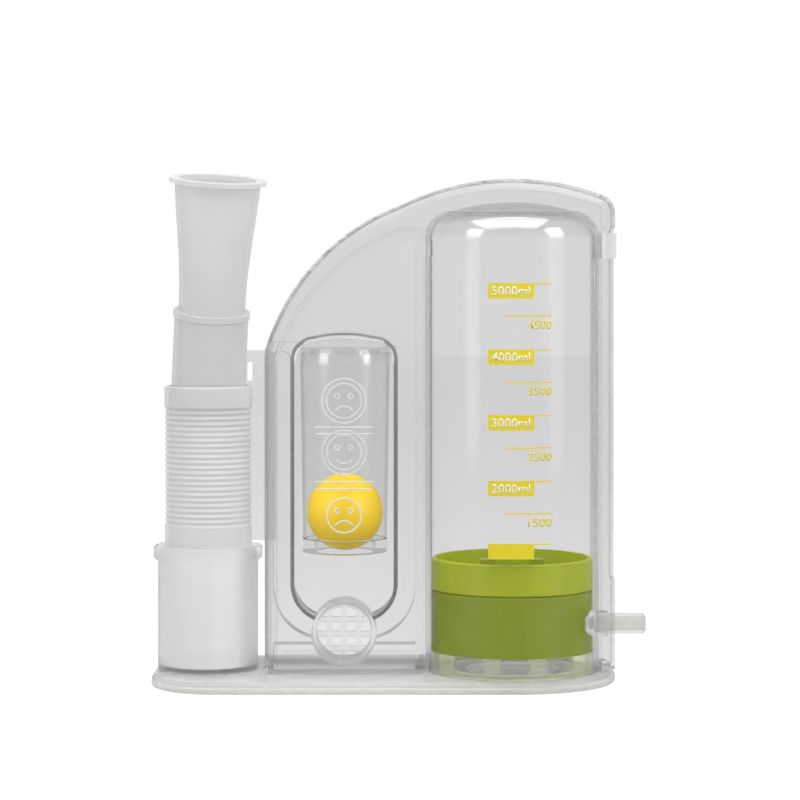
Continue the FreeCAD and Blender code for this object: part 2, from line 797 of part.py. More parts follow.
# Flow window: the clear bump that closes the flow bay
bump = new_body("flow_window")
bump_plan = raised_sketch(bump, "bump_plan", "front_level")
bump_outline(bump_plan, "bump_clearance")
bump_pad = pad(bump, bump_plan, "bump_level - front_level", "bump_pad")
doc.recompute()
soften(bump, bump_pad, face_at(bump_pad.Shape, "Y", -number("bump_level")), "bump_edge", "Fillet", "bump_round")
bump_inner = raised_sketch(bump, "bump_inner", "front_level")
bump_outline(bump_inner, "bump_wall")
pocket(bump, bump_inner, "bump_level - front_level - bump_wall", "bump_hollow", reverse=True)
bump_mouth = body_sketch(bump, "XZ_Plane", "bump_mouth")
circle(bump_mouth, "-flow_centre", "grille_rise", "grille_radius + grille_clearance")
pocket(bump, bump_mouth, "2 * bump_level", "bump_mouth_cut", reverse=True)
parts["flow_window"] = bump

# Seat, tapered tube and stop that hold the ball
seat_top = "(ball_rest - sqrt(ball_radius ^ 2 - seat_bore ^ 2) - tube_clearance)"
tube_low = "(ball_radius + tube_running)"
tube_high = "(ball_radius + tube_running + tube_taper)"
tube_top = "(ball_rest + ball_travel + ball_radius + 1.3 * tube_clearance)"
at_ball = {"across": "-flow_centre", "back": "-tube_centre"}
parts["ball_seat"] = turned("ball_seat", [
    ("seat_bore", f"{seat_top} - seat_height"),
    (f"{tube_low} + tube_wall", f"{seat_top} - seat_height"),
    (f"{tube_low} + tube_wall", seat_top),
    ("seat_bore", seat_top),
], **at_ball)
parts["flow_tube"] = turned("flow_tube", [
    (tube_low, seat_top),
    (f"{tube_low} + tube_wall", seat_top),
    (f"{tube_high} + tube_wall", tube_top),
    (tube_high, tube_top),
], **at_ball)
stop = turned("ball_stop", [
    (f"{tube_low} - stop_bar", tube_top),
    (f"{tube_high} + tube_wall / 2", tube_top),
    (f"{tube_high} + tube_wall / 2", f"{tube_top} + stop_height"),
    (f"{tube_low} - stop_bar", f"{tube_top} + stop_height"),
], **at_ball)
for index, (wide, deep) in enumerate((("tube_low_out", "stop_bar / 2"), ("stop_bar / 2", "tube_low_out"))):
    bar = body_sketch(stop, "XY_Plane", f"stop_bar_plan_{index}")
    tie(bar, AttachmentOffset__Base__z=tube_top)
    wide, deep = (text.replace("tube_low_out", f"{tube_low} - stop_bar / 2") for text in (wide, deep))
    outline(bar, [(f"-({wide})", f"-({deep})"), (wide, f"-({deep})"), (wide, deep), (f"-({wide})", deep)])
    pad(stop, bar, "stop_height", f"stop_bar_{index}")
parts["ball_stop"] = stop
ball = doc.addObject("Part::Sphere", "flow_ball")
tie(ball, Radius="ball_radius", Placement__Base__x="-flow_centre", Placement__Base__y="-tube_centre",
    Placement__Base__z="ball_rest")
parts["flow_ball"] = ball

# Inlet grille: a round boss with a square grid in its front
grille_holes = []
for column in range(4):
    for line in range(4):
        grille_holes.append(box(
            f"grille_square_{column}_{line}",
            (f"-flow_centre + ({column} - 1.5) * grille_pitch - grille_hole / 2", f"-grille_front - {OVERSHOOT}",
             f"grille_rise + ({line} - 1.5) * grille_pitch - grille_hole / 2"),
            ("grille_hole", f"grille_plate + 2 * {OVERSHOOT}", "grille_hole")))
grid = doc.addObject("Part::MultiCommon", "grille_grid")
grid.Shapes = [
    fuse(grille_holes, "grille_squares"),
    rod("grille_field", "grille_radius - grille_wall - grille_border", f"grille_plate + 2 * {OVERSHOOT}",
        ("-flow_centre", f"-grille_front - {OVERSHOOT}", "grille_rise"), "Y"),
]
parts["inlet_grille"] = cut(
    rod("grille_boss", "grille_radius", "grille_front - grille_back",
        ("-flow_centre", "-grille_front", "grille_rise"), "Y"),
    [rod("grille_bore", "grille_radius - grille_wall", "grille_front",
         ("-flow_centre", "-grille_front + grille_plate", "grille_rise"), "Y"), grid],
    "inlet_grille")

# Side port: a small-bore tubing nipple whose root follows the cylinder
sideways = FreeCAD.Rotation(V(0, 1, 0), 90)
port_form = turned("port_form", [
    ("port_bore", "0"),
    ("port_radius", "0"),
    ("port_radius", "port_end - cylinder_offset - port_edge"),
    ("port_radius - port_edge", "port_end - cylinder_offset"),
    ("port_bore", "port_end - cylinder_offset"),
])
collar = doc.addObject("Part::Prism", "port_collar_form")
collar.Polygon = 6
tie(collar, Circumradius="port_collar", Height="port_collar_end - cylinder_offset")
for piece in (port_form, collar):
    piece.Placement = FreeCAD.Placement(V(0, 0, 0), sideways)
    tie(piece, Placement__Base__x="cylinder_offset", Placement__Base__y="-port_setback",
        Placement__Base__z="port_rise")
collar_bore = rod("port_collar_bore", "port_bore", "port_end",
                  ("cylinder_offset", "-port_setback", "port_rise"), "X")
parts["side_port"] = cut(fuse([port_form, collar], "port_solid"),
                         [collar_bore, cylinder_space("port_cylinder_space")], "side_port")

# Goal pointer: a thin clip that slides in the track on the tower's right edge
pointer = new_body("goal_pointer")
pointer_plan = body_sketch(pointer, "XY_Plane", "pointer_plan")
tie(pointer_plan, AttachmentOffset__Base__z="pointer_rise")
right = f"({house_right} - track_depth + pointer_clearance)"
near = "(-(front_level + pointer_clearance))"
far = "(rear_level + pointer_clearance)"
miter = f"(house_bevel - {BEVEL_TURN} * pointer_clearance)"
outer_miter = f"({miter} - {BEVEL_TURN} * pointer_wall)"
outline(pointer_plan, [
    (f"{right} - pointer_reach", f"{near} - pointer_wall"),
    (f"{right} - {outer_miter}", f"{near} - pointer_wall"),
    (f"{right} + pointer_wall", f"{near} + {outer_miter}"),
    (f"{right} + pointer_wall", f"{far} - {outer_miter}"),
    (f"{right} - {outer_miter}", f"{far} + pointer_wall"),
    (f"{right} - pointer_reach", f"{far} + pointer_wall"),
    (f"{right} - pointer_reach", far),
    (f"{right} - {miter}", far),
    (right, f"{far} - {miter}"),
    (right, f"{near} + {miter}"),
    (f"{right} - {miter}", near),
    (f"{right} - pointer_reach", near),
])
pad(pointer, pointer_plan, "pointer_height", "pointer_pad")
parts["goal_pointer"] = pointer

# Bracket beside the hose, with its slot
bracket_left = "-(house_left + bracket_reach)"
cup_top = "base_height + cup_height"
parts["tube_bracket"] = cut(
    box("bracket_plate", (bracket_left, "bracket_setback", f"{cup_top} + bracket_gap"),
        ("bracket_reach + chamber_inset", "bracket_thickness", f"bracket_top - ({cup_top} + bracket_gap)")),
    [box("bracket_slot",
         (f"{bracket_left} + bracket_slot_in", f"bracket_setback - {OVERSHOOT}",
          "bracket_top - bracket_slot_down"),
         ("bracket_slot_width", f"bracket_thickness + 2 * {OVERSHOOT}", "bracket_slot_height"))],
    "tube_bracket")

# Breathing hose, folded up in the cup: smooth cuffs with fine ribs between them
hose_low = "base_height + cup_floor + hose_floor_gap"
ribs_low = f"{hose_low} + lower_cuff_height"
ribs_high = "hose_top - upper_cuff_height"
parts["hose_lower_cuff"] = turned("hose_lower_cuff", [
    ("hose_radius - cuff_wall", hose_low),
    ("hose_radius", hose_low),
    ("hose_radius", ribs_low),
    ("hose_radius - cuff_wall", ribs_low),
], across="-cup_offset")
hose = [("hose_radius - hose_wall", ribs_high), ("hose_radius - hose_wall", ribs_low), ("hose_radius", ribs_low)]
for rib in range(int(SIZES["rib_count"])):
    base = f"{ribs_high} - (rib_count - {rib}) * rib_pitch"
    hose += [("hose_radius", base), ("hose_radius - rib_depth", f"{base} + rib_pitch / 2")]
hose.append(("hose_radius", ribs_high))
parts["corrugated_hose"] = turned("corrugated_hose", hose, across="-cup_offset")
parts["hose_upper_cuff"] = turned("hose_upper_cuff", [
    ("hose_radius - cuff_wall + cuff_ease", ribs_high),
    ("hose_radius + cuff_ease", ribs_high),
    ("hose_radius + cuff_ease", "hose_top - cuff_edge"),
    ("hose_radius + cuff_ease - cuff_edge", "hose_top"),
    ("hose_radius - cuff_wall + cuff_ease", "hose_top"),
], across="-cup_offset")


def leaning(piece):
    """Stand a piece, made upright about the origin, in the hose's mouth at its lean."""
    bearing = math.radians(SIZES["lean_bearing"])
    axis = V(-math.sin(bearing), math.cos(bearing), 0)
    piece.Placement = FreeCAD.Placement(V(0, 0, 0), FreeCAD.Rotation(axis, SIZES["lean"]))
    tie(piece, Placement__Base__x="-cup_offset", Placement__Base__z="hose_top", Placement__Rotation__Angle="lean")
    tie(piece, Placement__Rotation__Axis__x="-sin(lean_bearing)", Placement__Rotation__Axis__y="cos(lean_bearing)")
    return piece


# Adapter sleeve, connector and mouthpiece, drawn upright with their zero at the hose's top
adapter_end = "adapter_low - hose_top + adapter_length"
parts["hose_adapter"] = leaning(turned("hose_adapter", [
    ("adapter_bore", "adapter_low - hose_top"),
    ("adapter_radius", "adapter_low - hose_top"),
    ("adapter_radius", adapter_end),
    ("adapter_bore", adapter_end),
]))
connector_end = "connector_low - hose_top + connector_length"
parts["hose_connector"] = leaning(turned("hose_connector", [
    ("connector_bore", "connector_low - hose_top"),
    ("connector_radius", "connector_low - hose_top"),
    ("connector_radius", f"{connector_end} - connector_lip_height - connector_lip"),
    ("connector_radius + connector_lip", f"{connector_end} - connector_lip_height"),
    ("connector_radius + connector_lip", connector_end),
    ("connector_bore", connector_end),
]))

# Mouthpiece: round stem, oval flared mouth and a lip
FLARE = (("0", "0"), ("0.39", "0.21"), ("0.57", "0.45"), ("lip_share", "1"))


def oval(name, share, flare, wall, reach="0"):
    """One oval section of the mouthpiece at a share of its length."""
    ring = doc.addObject("Part::Ellipse", name)
    root = "(stem_radius + mouth_shoulder)"
    width = f"{root} + (mouth_half_width - {root}) * {flare} - {wall} + {reach} + 2 * {SLACK}"
    depth = f"{root} - ({root} - mouth_half_depth) * {share} ^ 2 - {wall} + {reach}"
    tie(ring, MajorRadius=width, MinorRadius=depth,
        Placement__Base__z=f"{connector_end} + mouth_length * {share}")
    return ring


mouth_outer = loft([oval(f"mouth_ring_{i}", s, f, "0") for i, (s, f) in enumerate(FLARE)], "mouth_outer")
mouth_bore = loft([oval(f"bore_ring_{i}", s, f, "mouth_wall") for i, (s, f) in enumerate(FLARE)], "mouth_bore")
lip_low = oval("lip_ring_0", "lip_share", "1", "0", "lip_reach")
lip_high = oval("lip_ring_1", "lip_share", "1", "0", "lip_reach")
tie(lip_high, Placement__Base__z=f"{connector_end} + mouth_length * lip_share + lip_thickness")
lip_bores = [oval(f"lip_bore_{i}", "lip_share", "1", "mouth_wall") for i in (0, 1)]
lip_bore = loft(lip_bores, "lip_bore")
tie(lip_bores[0], Placement__Base__z=f"{connector_end} + mouth_length * lip_share - {SLACK}")
tie(lip_bores[1], Placement__Base__z=f"{connector_end} + mouth_length * lip_share + 2 * lip_thickness")
stem = rod("mouth_stem", "stem_radius", "stem_insert", ("0", "0", f"{connector_end} - stem_insert"), "Z")
stem_hole = rod("mouth_stem_bore", "stem_bore", f"stem_insert + 2 * {SLACK}",
                ("0", "0", f"{connector_end} - stem_insert - {SLACK}"), "Z")
mouth_solid = fuse([mouth_outer, stem, loft([lip_low, lip_high], "mouth_lip")], "mouth_solid")
parts["mouthpiece"] = leaning(cut(mouth_solid, [mouth_bore, stem_hole, lip_bore], "mouthpiece"))

doc.recompute()
for thing in doc.Objects:
    if {"Invalid", "Error"} & set(thing.State):
        raise RuntimeError(f"{thing.Name} failed: {thing.State}")
os.makedirs("parts", exist_ok=True)
for label, piece in parts.items():
    piece.Label = label
    shape = piece.Shape
    if shape.isNull() or not shape.isValid() or not shape.Solids:
        raise RuntimeError(f"{label} has no valid shape")
    shape.exportStep(f"parts/{label}.step")
    bounds = shape.BoundBox
    print(f"{label:18s} solids {len(shape.Solids)} volume {shape.Volume:9.1f}"
          f"  X {bounds.XMin:7.2f} {bounds.XMax:7.2f}  Y {bounds.YMin:7.2f} {bounds.YMax:7.2f}"
          f"  Z {bounds.ZMin:7.2f} {bounds.ZMax:7.2f}")
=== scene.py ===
# %% [markdown]
# # A clear breathing exerciser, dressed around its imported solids
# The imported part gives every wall, hole and moving piece its true size and place.
# This lesson adds the finish of each piece, the printed scale, the raised signs on the flow window and the light.

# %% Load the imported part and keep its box
import bpy
import math
from mathutils import Matrix, Vector


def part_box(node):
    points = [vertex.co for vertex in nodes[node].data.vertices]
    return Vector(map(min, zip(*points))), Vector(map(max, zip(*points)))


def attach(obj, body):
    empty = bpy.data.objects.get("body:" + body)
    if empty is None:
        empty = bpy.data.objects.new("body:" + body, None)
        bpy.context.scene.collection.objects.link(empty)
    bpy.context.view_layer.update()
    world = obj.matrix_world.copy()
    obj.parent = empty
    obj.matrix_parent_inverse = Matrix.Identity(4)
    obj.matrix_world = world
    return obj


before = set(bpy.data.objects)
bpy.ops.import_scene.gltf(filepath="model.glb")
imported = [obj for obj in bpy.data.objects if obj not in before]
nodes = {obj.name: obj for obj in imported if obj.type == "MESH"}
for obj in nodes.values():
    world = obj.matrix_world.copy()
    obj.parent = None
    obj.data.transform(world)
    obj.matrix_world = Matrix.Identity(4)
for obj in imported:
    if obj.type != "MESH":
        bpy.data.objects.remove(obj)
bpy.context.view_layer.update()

# %% [markdown]
# ## Camera
# The product was photographed from straight in front with a long lens, from a little above its middle.
# The lens is level, so upright edges stay upright, and a small shift puts the object where the picture has it.

# %% Camera
camera_data = bpy.data.cameras.new("camera")
camera_data.lens = 123.9
camera_data.sensor_width = 36
camera_data.shift_y = -0.18
camera = bpy.data.objects.new("camera", camera_data)
camera.location = (0.0052, -0.925, 0.1425)
camera.rotation_euler = (math.radians(90), 0, 0)
bpy.context.collection.objects.link(camera)
bpy.context.scene.camera = camera
print("lens", camera_data.lens, "mm")

# %% [markdown]
# ## Shader maths
# A small class wraps a socket, so that shader maths reads like plain maths.
# Each operator adds one Math node, and any other node comes from one method.


# %% A wrapped socket
class Wire:
    """A shader value that can be used in plain expressions."""

    def __init__(self, tree, socket):
        self.tree = tree
        self.socket = socket

    def node(self, kind, settings=None, **values):
        """Any node, with its settings made first and its inputs after."""
        made = self.tree.nodes.new(kind)
        for key, value in (settings or {}).items():
            setattr(made, key, value)
        for key, value in values.items():
            by_number = key[0] == "i" and key[1:].isdigit()
            place = made.inputs[int(key[1:])] if by_number else made.inputs[key.replace("_", " ")]
            if isinstance(value, Wire):
                self.tree.links.new(value.socket, place)
            else:
                place.default_value = value
        return made

    def math(self, operation, *values):
        """One Math node."""
        slots = {f"i{index}": value for index, value in enumerate(values)}
        return Wire(self.tree, self.node("ShaderNodeMath", {"operation": operation}, **slots).outputs[0])

    def __add__(self, other):
        return self.math("ADD", self, other)

    def __radd__(self, other):
        return self.math("ADD", other, self)

    def __sub__(self, other):
        return self.math("SUBTRACT", self, other)

    def __rsub__(self, other):
        return self.math("SUBTRACT", other, self)

    def __mul__(self, other):
        return self.math("MULTIPLY", self, other)

    def __rmul__(self, other):
        return self.math("MULTIPLY", other, self)

    def larger(self, other):
        """The larger one of two values."""
        return self.math("MAXIMUM", self, other)

    def clamped(self):
        """The value kept between nought and one."""
        return self.math("MINIMUM", self.larger(0.0), 1.0)

    def into(self, place):
        """Feed the value to a shader's socket."""
        self.tree.links.new(self.socket, place)


# %% [markdown]
# ## Light and background
# Clear plastic shows mostly what is behind it, so the background does most of the work: an even white.
# The world is white to the camera and through the plastic, and dimmer where it lights solid pieces.
# Long soft lamps at the sides draw the bright lines on the rounded edges.
# Light crosses many clear walls here, so a path may turn more often than it does by default.

# %% World
WALL_CROSSINGS, MIRROR_TURNS = 32, 16
DIM_SKY = 0.35
MIRROR_LOSS = 0.3
scene = bpy.context.scene
scene.view_settings.view_transform = "Standard"
scene.cycles.max_bounces = WALL_CROSSINGS
scene.cycles.transmission_bounces = WALL_CROSSINGS
scene.cycles.glossy_bounces = MIRROR_TURNS
scene.cycles.transparent_max_bounces = WALL_CROSSINGS
world = bpy.data.worlds.new("studio")
scene.world = world
world.use_nodes = True
world_tree = world.node_tree
world_tree.nodes.clear()
sky = world_tree.nodes.new("ShaderNodeBackground")
sky.inputs["Color"].default_value = (1, 1, 1, 1)
world_out = world_tree.nodes.new("ShaderNodeOutputWorld")
world_tree.links.new(sky.outputs[0], world_out.inputs[0])


def backdrop_share(tree):
    """How much of the backdrop's white a ray meets: all that the camera sees, also through clear pieces."""
    path = tree.nodes.new("ShaderNodeLightPath")
    seen = Wire(tree, path.outputs["Is Camera Ray"])
    straight = 1.0 - Wire(tree, path.outputs["Diffuse Depth"]).clamped()
    mirrored = Wire(tree, path.outputs["Glossy Depth"]).clamped()
    through = Wire(tree, path.outputs["Is Transmission Ray"]) * straight * (1.0 - mirrored * MIRROR_LOSS)
    return seen.larger(through)


backdrop_share(world_tree).larger(DIM_SKY).into(sky.inputs["Strength"])
print("world nodes:", len(world_tree.nodes))


# %% Lamps
def softbox(name, place, aim, width, height, power):
    """A rectangular lamp at a place, turned towards a point."""
    lamp = bpy.data.lights.new(name, "AREA")
    lamp.shape = "RECTANGLE"
    lamp.size = width
    lamp.size_y = height
    lamp.energy = power
    holder = bpy.data.objects.new(name, lamp)
    holder.location = place
    holder.rotation_euler = (Vector(aim) - Vector(place)).to_track_quat("-Z", "Y").to_euler()
    bpy.context.collection.objects.link(holder)


softbox("left_box", (-0.75, -0.55, 0.35), (0, 0, 0.09), 0.35, 0.8, 3.0)
softbox("right_box", (0.8, -0.45, 0.35), (0, 0, 0.09), 0.35, 0.8, 3.6)
softbox("top_box", (0, -0.2, 0.7), (0, -0.05, 0.05), 0.75, 0.5, 4.4)
print("lamps:", [(lamp.name, round(lamp.energy, 2)) for lamp in bpy.data.lights])

# %% [markdown]
# ## Helpers for finishes
# Every finish is one principled shader that reads Object coordinates, so its pattern stays on a piece that moves.
# Moulded plastic is never quite even, so a weak noise varies its colour, its gloss and its relief.


# %% A new finish
def finish(name):
    """A new material, its principled shader, and a wire with the Object coordinates."""
    material = bpy.data.materials.new(name)
    material.use_nodes = True
    tree = material.node_tree
    shader = tree.nodes["Principled BSDF"]
    place = tree.nodes.new("ShaderNodeTexCoord")
    return material, shader, Wire(tree, place.outputs["Object"])


def noise(place, scale, detail=3.0):
    """Even noise from -0.5 to 0.5 at so many waves a metre."""
    made = place.node("ShaderNodeTexNoise", None, Vector=place, Scale=scale, Detail=detail)
    return Wire(place.tree, made.outputs["Fac"]) - 0.5


FIRST_COLOUR, SECOND_COLOUR, MIXED_COLOUR = 6, 7, 2


def tint(place, low, high, mix):
    """A colour between two colours, from the colour sockets of a Mix node."""
    made = place.node("ShaderNodeMix", {"data_type": "RGBA"})
    mix.into(made.inputs["Factor"])
    made.inputs[FIRST_COLOUR].default_value = (*low, 1)
    made.inputs[SECOND_COLOUR].default_value = (*high, 1)
    return Wire(place.tree, made.outputs[MIXED_COLOUR])


def bump(place, shader, height, distance):
    """Fine relief in metres from a height."""
    made = place.node("ShaderNodeBump", None, Height=height, Distance=distance, Strength=1.0)
    place.tree.links.new(made.outputs["Normal"], shader.inputs["Normal"])


def dress(material, *names):
    """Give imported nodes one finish, in every slot."""
    for name in names:
        mesh = nodes[name].data
        mesh.materials.clear()
        mesh.materials.append(material)
    print(material.name, "on", ", ".join(names))


# %% [markdown]
# ## Clear plastic
# The housing is injection-moulded clear styrene: it bends what lies behind it a little and greys it slightly.
# Real refraction gives the dark edge lines and the stretched colours of the ball and the piston beside them.
# A shadow ray passes straight through, so that the pieces inside stay lit.
# The domed tops of the cylinder and the window are the most polished, so the coat grows above a given height.

# %% How clear plastic varies
FLECK_TONE, FLECK_WAVES, FLECK_ROUGHNESS = 0.985, 120, 0.02
RIPPLE_WAVES, RIPPLE_HEIGHT = 60, 0.00004
COAT, COAT_ROUGHNESS = 0.15, 0.08
COAT_INDEX, DOME_COAT_INDEX = 1.6, 1.9
LOW_COAT, POLISH_PER_METRE = 0.05, 400.0
SHADOW_TINT = (0.97, 0.97, 0.97, 1)
print("ripple:", RIPPLE_WAVES, "waves a metre")


# %% Clear plastic
def clear_plastic(name, colour, clearness, roughness, index, shiny_above=None):
    """Clear moulded plastic with a faint unevenness, greyed by its colour and by a little haze."""
    material, shader, place = finish(name)
    uneven = noise(place, FLECK_WAVES)
    tint(place, tuple(c * FLECK_TONE for c in colour), colour, (uneven + 0.5).clamped()).into(
        shader.inputs["Base Color"])
    (roughness + uneven * FLECK_ROUGHNESS).clamped().into(shader.inputs["Roughness"])
    shader.inputs["Transmission Weight"].default_value = clearness
    shader.inputs["IOR"].default_value = index
    shader.inputs["Coat Weight"].default_value = COAT
    shader.inputs["Coat Roughness"].default_value = COAT_ROUGHNESS
    shader.inputs["Coat IOR"].default_value = COAT_INDEX
    if shiny_above is not None:
        height = Wire(place.tree, place.node("ShaderNodeSeparateXYZ", None, Vector=place).outputs["Z"])
        polish = ((height - shiny_above) * POLISH_PER_METRE).clamped() * (1.0 - LOW_COAT) + LOW_COAT
        polish.into(shader.inputs["Coat Weight"])
        shader.inputs["Coat IOR"].default_value = DOME_COAT_INDEX
    bump(place, shader, noise(place, RIPPLE_WAVES), RIPPLE_HEIGHT)
    route = place.node("ShaderNodeLightPath")
    thin = place.node("ShaderNodeBsdfTransparent", None, Color=SHADOW_TINT)
    mixed = place.node("ShaderNodeMixShader")
    place.tree.links.new(route.outputs["Is Shadow Ray"], mixed.inputs[0])
    place.tree.links.new(shader.outputs[0], mixed.inputs[1])
    place.tree.links.new(thin.outputs[0], mixed.inputs[2])
    place.tree.links.new(mixed.outputs[0], place.tree.nodes["Material Output"].inputs["Surface"])
    return material


# %% Clear pieces
shell_clear = clear_plastic("shell_clear", (0.90, 0.90, 0.90), 0.97, 0.2, 1.14)
rear_clear = clear_plastic("rear_clear", (0.73, 0.73, 0.73), 1.0, 0.2, 1.12)
port_clear = clear_plastic("port_clear", (0.72, 0.73, 0.71), 0.9, 0.15, 1.15)
cup_clear = clear_plastic("cup_clear", (0.87, 0.87, 0.87), 0.95, 0.35, 1.1)
base_clear = clear_plastic("base_clear", (0.84, 0.84, 0.83), 0.8, 0.25, 1.12)
tube_clear = clear_plastic("tube_clear", (0.83, 0.83, 0.83), 1.0, 0.05, 1.09, shiny_above=0.148)
window_clear = clear_plastic("window_clear", (0.93, 0.93, 0.93), 1.0, 0.08, 1.08, shiny_above=0.106)
ring_clear = clear_plastic("ring_clear", (0.97, 0.98, 0.80), 0.9, 0.2, 1.08)
dress(shell_clear, "front_shell", "inlet_grille")
dress(rear_clear, "rear_shell", "tube_bracket")
dress(port_clear, "side_port")
dress(cup_clear, "holder_cup")
dress(base_clear, "base_tray", "bottom_plate")
dress(tube_clear, "volume_cylinder", "piston_bridge")
dress(window_clear, "flow_window", "flow_tube", "ball_seat", "ball_stop")
dress(ring_clear, "air_inlet_ring")

# %% [markdown]
# ## Milky plastic
# The mouthpiece, connector and hose are thin, milky and slightly see-through.
# A low alpha shows what is behind them without bending it, which is what such thin walls do.


# %% Milky plastic
CLOUD_TONE, CLOUD_WAVES, CLOUD_ROUGHNESS, CLOUD_ALPHA = 0.97, 90, 0.06, 0.04
SATIN_WAVES, SATIN_HEIGHT = 200, 0.00003


def milky_plastic(name, colour, alpha, roughness):
    """Soft translucent plastic: light grey, satin and a little see-through."""
    material, shader, place = finish(name)
    uneven = noise(place, CLOUD_WAVES)
    tint(place, tuple(c * CLOUD_TONE for c in colour), colour, (uneven + 0.5).clamped()).into(
        shader.inputs["Base Color"])
    (roughness + uneven * CLOUD_ROUGHNESS).clamped().into(shader.inputs["Roughness"])
    (alpha + uneven * CLOUD_ALPHA).clamped().into(shader.inputs["Alpha"])
    bump(place, shader, noise(place, SATIN_WAVES), SATIN_HEIGHT)
    return material


milky = milky_plastic("milky", (0.82, 0.82, 0.82), 0.62, 0.38)
hose_milky = milky_plastic("hose_milky", (0.82, 0.82, 0.82), 0.5, 0.5)
dress(milky, "mouthpiece", "hose_connector", "hose_adapter", "goal_pointer")
dress(hose_milky, "hose_lower_cuff", "corrugated_hose", "hose_upper_cuff")

# %% [markdown]
# ## Coloured pieces
# The piston is satin olive green and the ball a warm yellow, both moulded in one colour right through. The piston's
# one green is painted in a lit and a shaded copy: lighter on the crown as painted light, darker on the skirt as
# painted shade.


# %% Coloured plastic
MOTTLE_WAVES, MOTTLE_CONTRAST, MOTTLE_ROUGHNESS = 140, 1.4, 0.08
GRAIN_WAVES, GRAIN_HEIGHT = 900, 0.00002
SATIN_SPECULAR = 0.3


def coloured_plastic(name, dark, light, roughness):
    """Opaque moulded plastic with a slight mottle and a satin skin."""
    material, shader, place = finish(name)
    mottle = noise(place, MOTTLE_WAVES)
    tint(place, dark, light, (mottle * MOTTLE_CONTRAST + 0.5).clamped()).into(shader.inputs["Base Color"])
    (roughness + mottle * MOTTLE_ROUGHNESS).clamped().into(shader.inputs["Roughness"])
    shader.inputs["Specular IOR Level"].default_value = SATIN_SPECULAR
    bump(place, shader, noise(place, GRAIN_WAVES), GRAIN_HEIGHT)
    return material


# One piston green in two copies: the crown's is painted lighter as painted light, the skirt's darker as painted
# shade.
shaded_green_skirt = coloured_plastic("shaded_green_skirt", (0.20, 0.25, 0.012), (0.22, 0.275, 0.015), 0.42)
lit_green_crown = coloured_plastic("lit_green_crown", (0.33, 0.39, 0.012), (0.36, 0.42, 0.015), 0.4)
yellow_ball = coloured_plastic("yellow_ball", (0.92, 0.62, 0.015), (0.95, 0.67, 0.02), 0.35)
dress(shaded_green_skirt, "piston_skirt")
dress(lit_green_crown, "piston_crown")
dress(yellow_ball, "flow_ball")

# %% [markdown]
# ## Printed scale
# Volumes are pad-printed in yellow on the cylinder's front, with the thousands knocked out of solid boxes.
# Flat shapes are drawn in the front view at their printed size and then wrapped round the cylinder, because real
# print follows the wall. A cut finer than the curve keeps each shape on the surface.

# %% Where the print lies
MM = 0.001
cylinder_low, cylinder_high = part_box("volume_cylinder")
axis_x = (cylinder_low[0] + cylinder_high[0]) / 2
wall = (cylinder_high[0] - cylinder_low[0]) / 2
PRINT_LEFT, PRINT_RIGHT = 33.9 * MM, 54.7 * MM
BOX_RIGHT, HALF_LEFT = 48.9 * MM, 39.3 * MM
BOX_HEIGHT, LINE = 5.05 * MM, 0.45 * MM
THOUSANDS = {5000: 133.7, 4000: 112.1, 3000: 90.7, 2000: 69.3, 1000: 48.8}
HALVES = {4500: 123.2, 3500: 101.6, 2500: 80.2, 1500: 58.8}
FIGURE_LEFT, FIGURE_DROP = PRINT_LEFT + 1.1 * MM, 4.0 * MM
FIGURE_HEIGHT, FIGURE_WIDTH, FIGURE_WEIGHT = 3.0 * MM, 12.6 * MM, 0.03 * MM
HALF_FIGURE_LEFT, HALF_FIGURE_DROP = 46.9 * MM, 4.5 * MM
HALF_FIGURE_HEIGHT, HALF_FIGURE_WIDTH, HALF_FIGURE_WEIGHT = 2.9 * MM, 7.8 * MM, 0.06 * MM
INK_LIFT, FIGURE_LIFT, INK_THICKNESS = 0.05 * MM, 0.10 * MM, 0.04 * MM
print(f"print wraps on radius {wall / MM:.2f} mm about x {axis_x / MM:.2f} mm")

yellow_print = coloured_plastic("yellow_print", (0.70, 0.58, 0.02), (0.76, 0.64, 0.03), 0.5)
pale_print = coloured_plastic("pale_print", (0.80, 0.80, 0.74), (0.84, 0.84, 0.78), 0.5)


# %% Helpers for flat print
STRIPS = 16
TYPE_SIZE_PER_HEIGHT = 1.36
UPRIGHT = (math.radians(90), 0, 0)


def clear_selection():
    """Leave nothing selected and nothing in edit mode."""
    if bpy.context.object and bpy.context.object.mode != "OBJECT":
        bpy.ops.object.mode_set(mode="OBJECT")
    bpy.ops.object.select_all(action="DESELECT")


def pick(piece):
    """Select one piece alone, for the next operator."""
    clear_selection()
    piece.select_set(True)
    bpy.context.view_layer.objects.active = piece


def settle(piece):
    """Put the place of a piece into its mesh."""
    pick(piece)
    bpy.ops.object.transform_apply(location=True, rotation=True, scale=True)


def slab(left, right, low, high, name):
    """A flat rectangle in the front view, cut into strips so that it can bend."""
    clear_selection()
    bpy.ops.mesh.primitive_grid_add(x_subdivisions=STRIPS, y_subdivisions=2, size=1)
    piece = bpy.context.object
    piece.name = name
    piece.scale = (right - left, high - low, 1)
    piece.location = ((left + right) / 2, 0, (low + high) / 2)
    piece.rotation_euler = UPRIGHT
    settle(piece)
    return piece


def words(text, left, low, height, width, weight, name):
    """Plain sans-serif figures in the front view, with their lower left corner at a point."""
    clear_selection()
    bpy.ops.object.text_add()
    piece = bpy.context.object
    piece.data.body = text
    piece.data.size = height * TYPE_SIZE_PER_HEIGHT
    piece.data.resolution_u = 4
    piece.data.offset = weight
    bpy.ops.object.convert(target="MESH")
    piece = bpy.context.object
    piece.name = name
    piece.scale.x = width / piece.dimensions.x
    piece.rotation_euler = UPRIGHT
    settle(piece)
    corner = Vector((min(v.co.x for v in piece.data.vertices), 0, min(v.co.z for v in piece.data.vertices)))
    piece.data.transform(Matrix.Translation(Vector((left, 0, low)) - corner))
    return piece


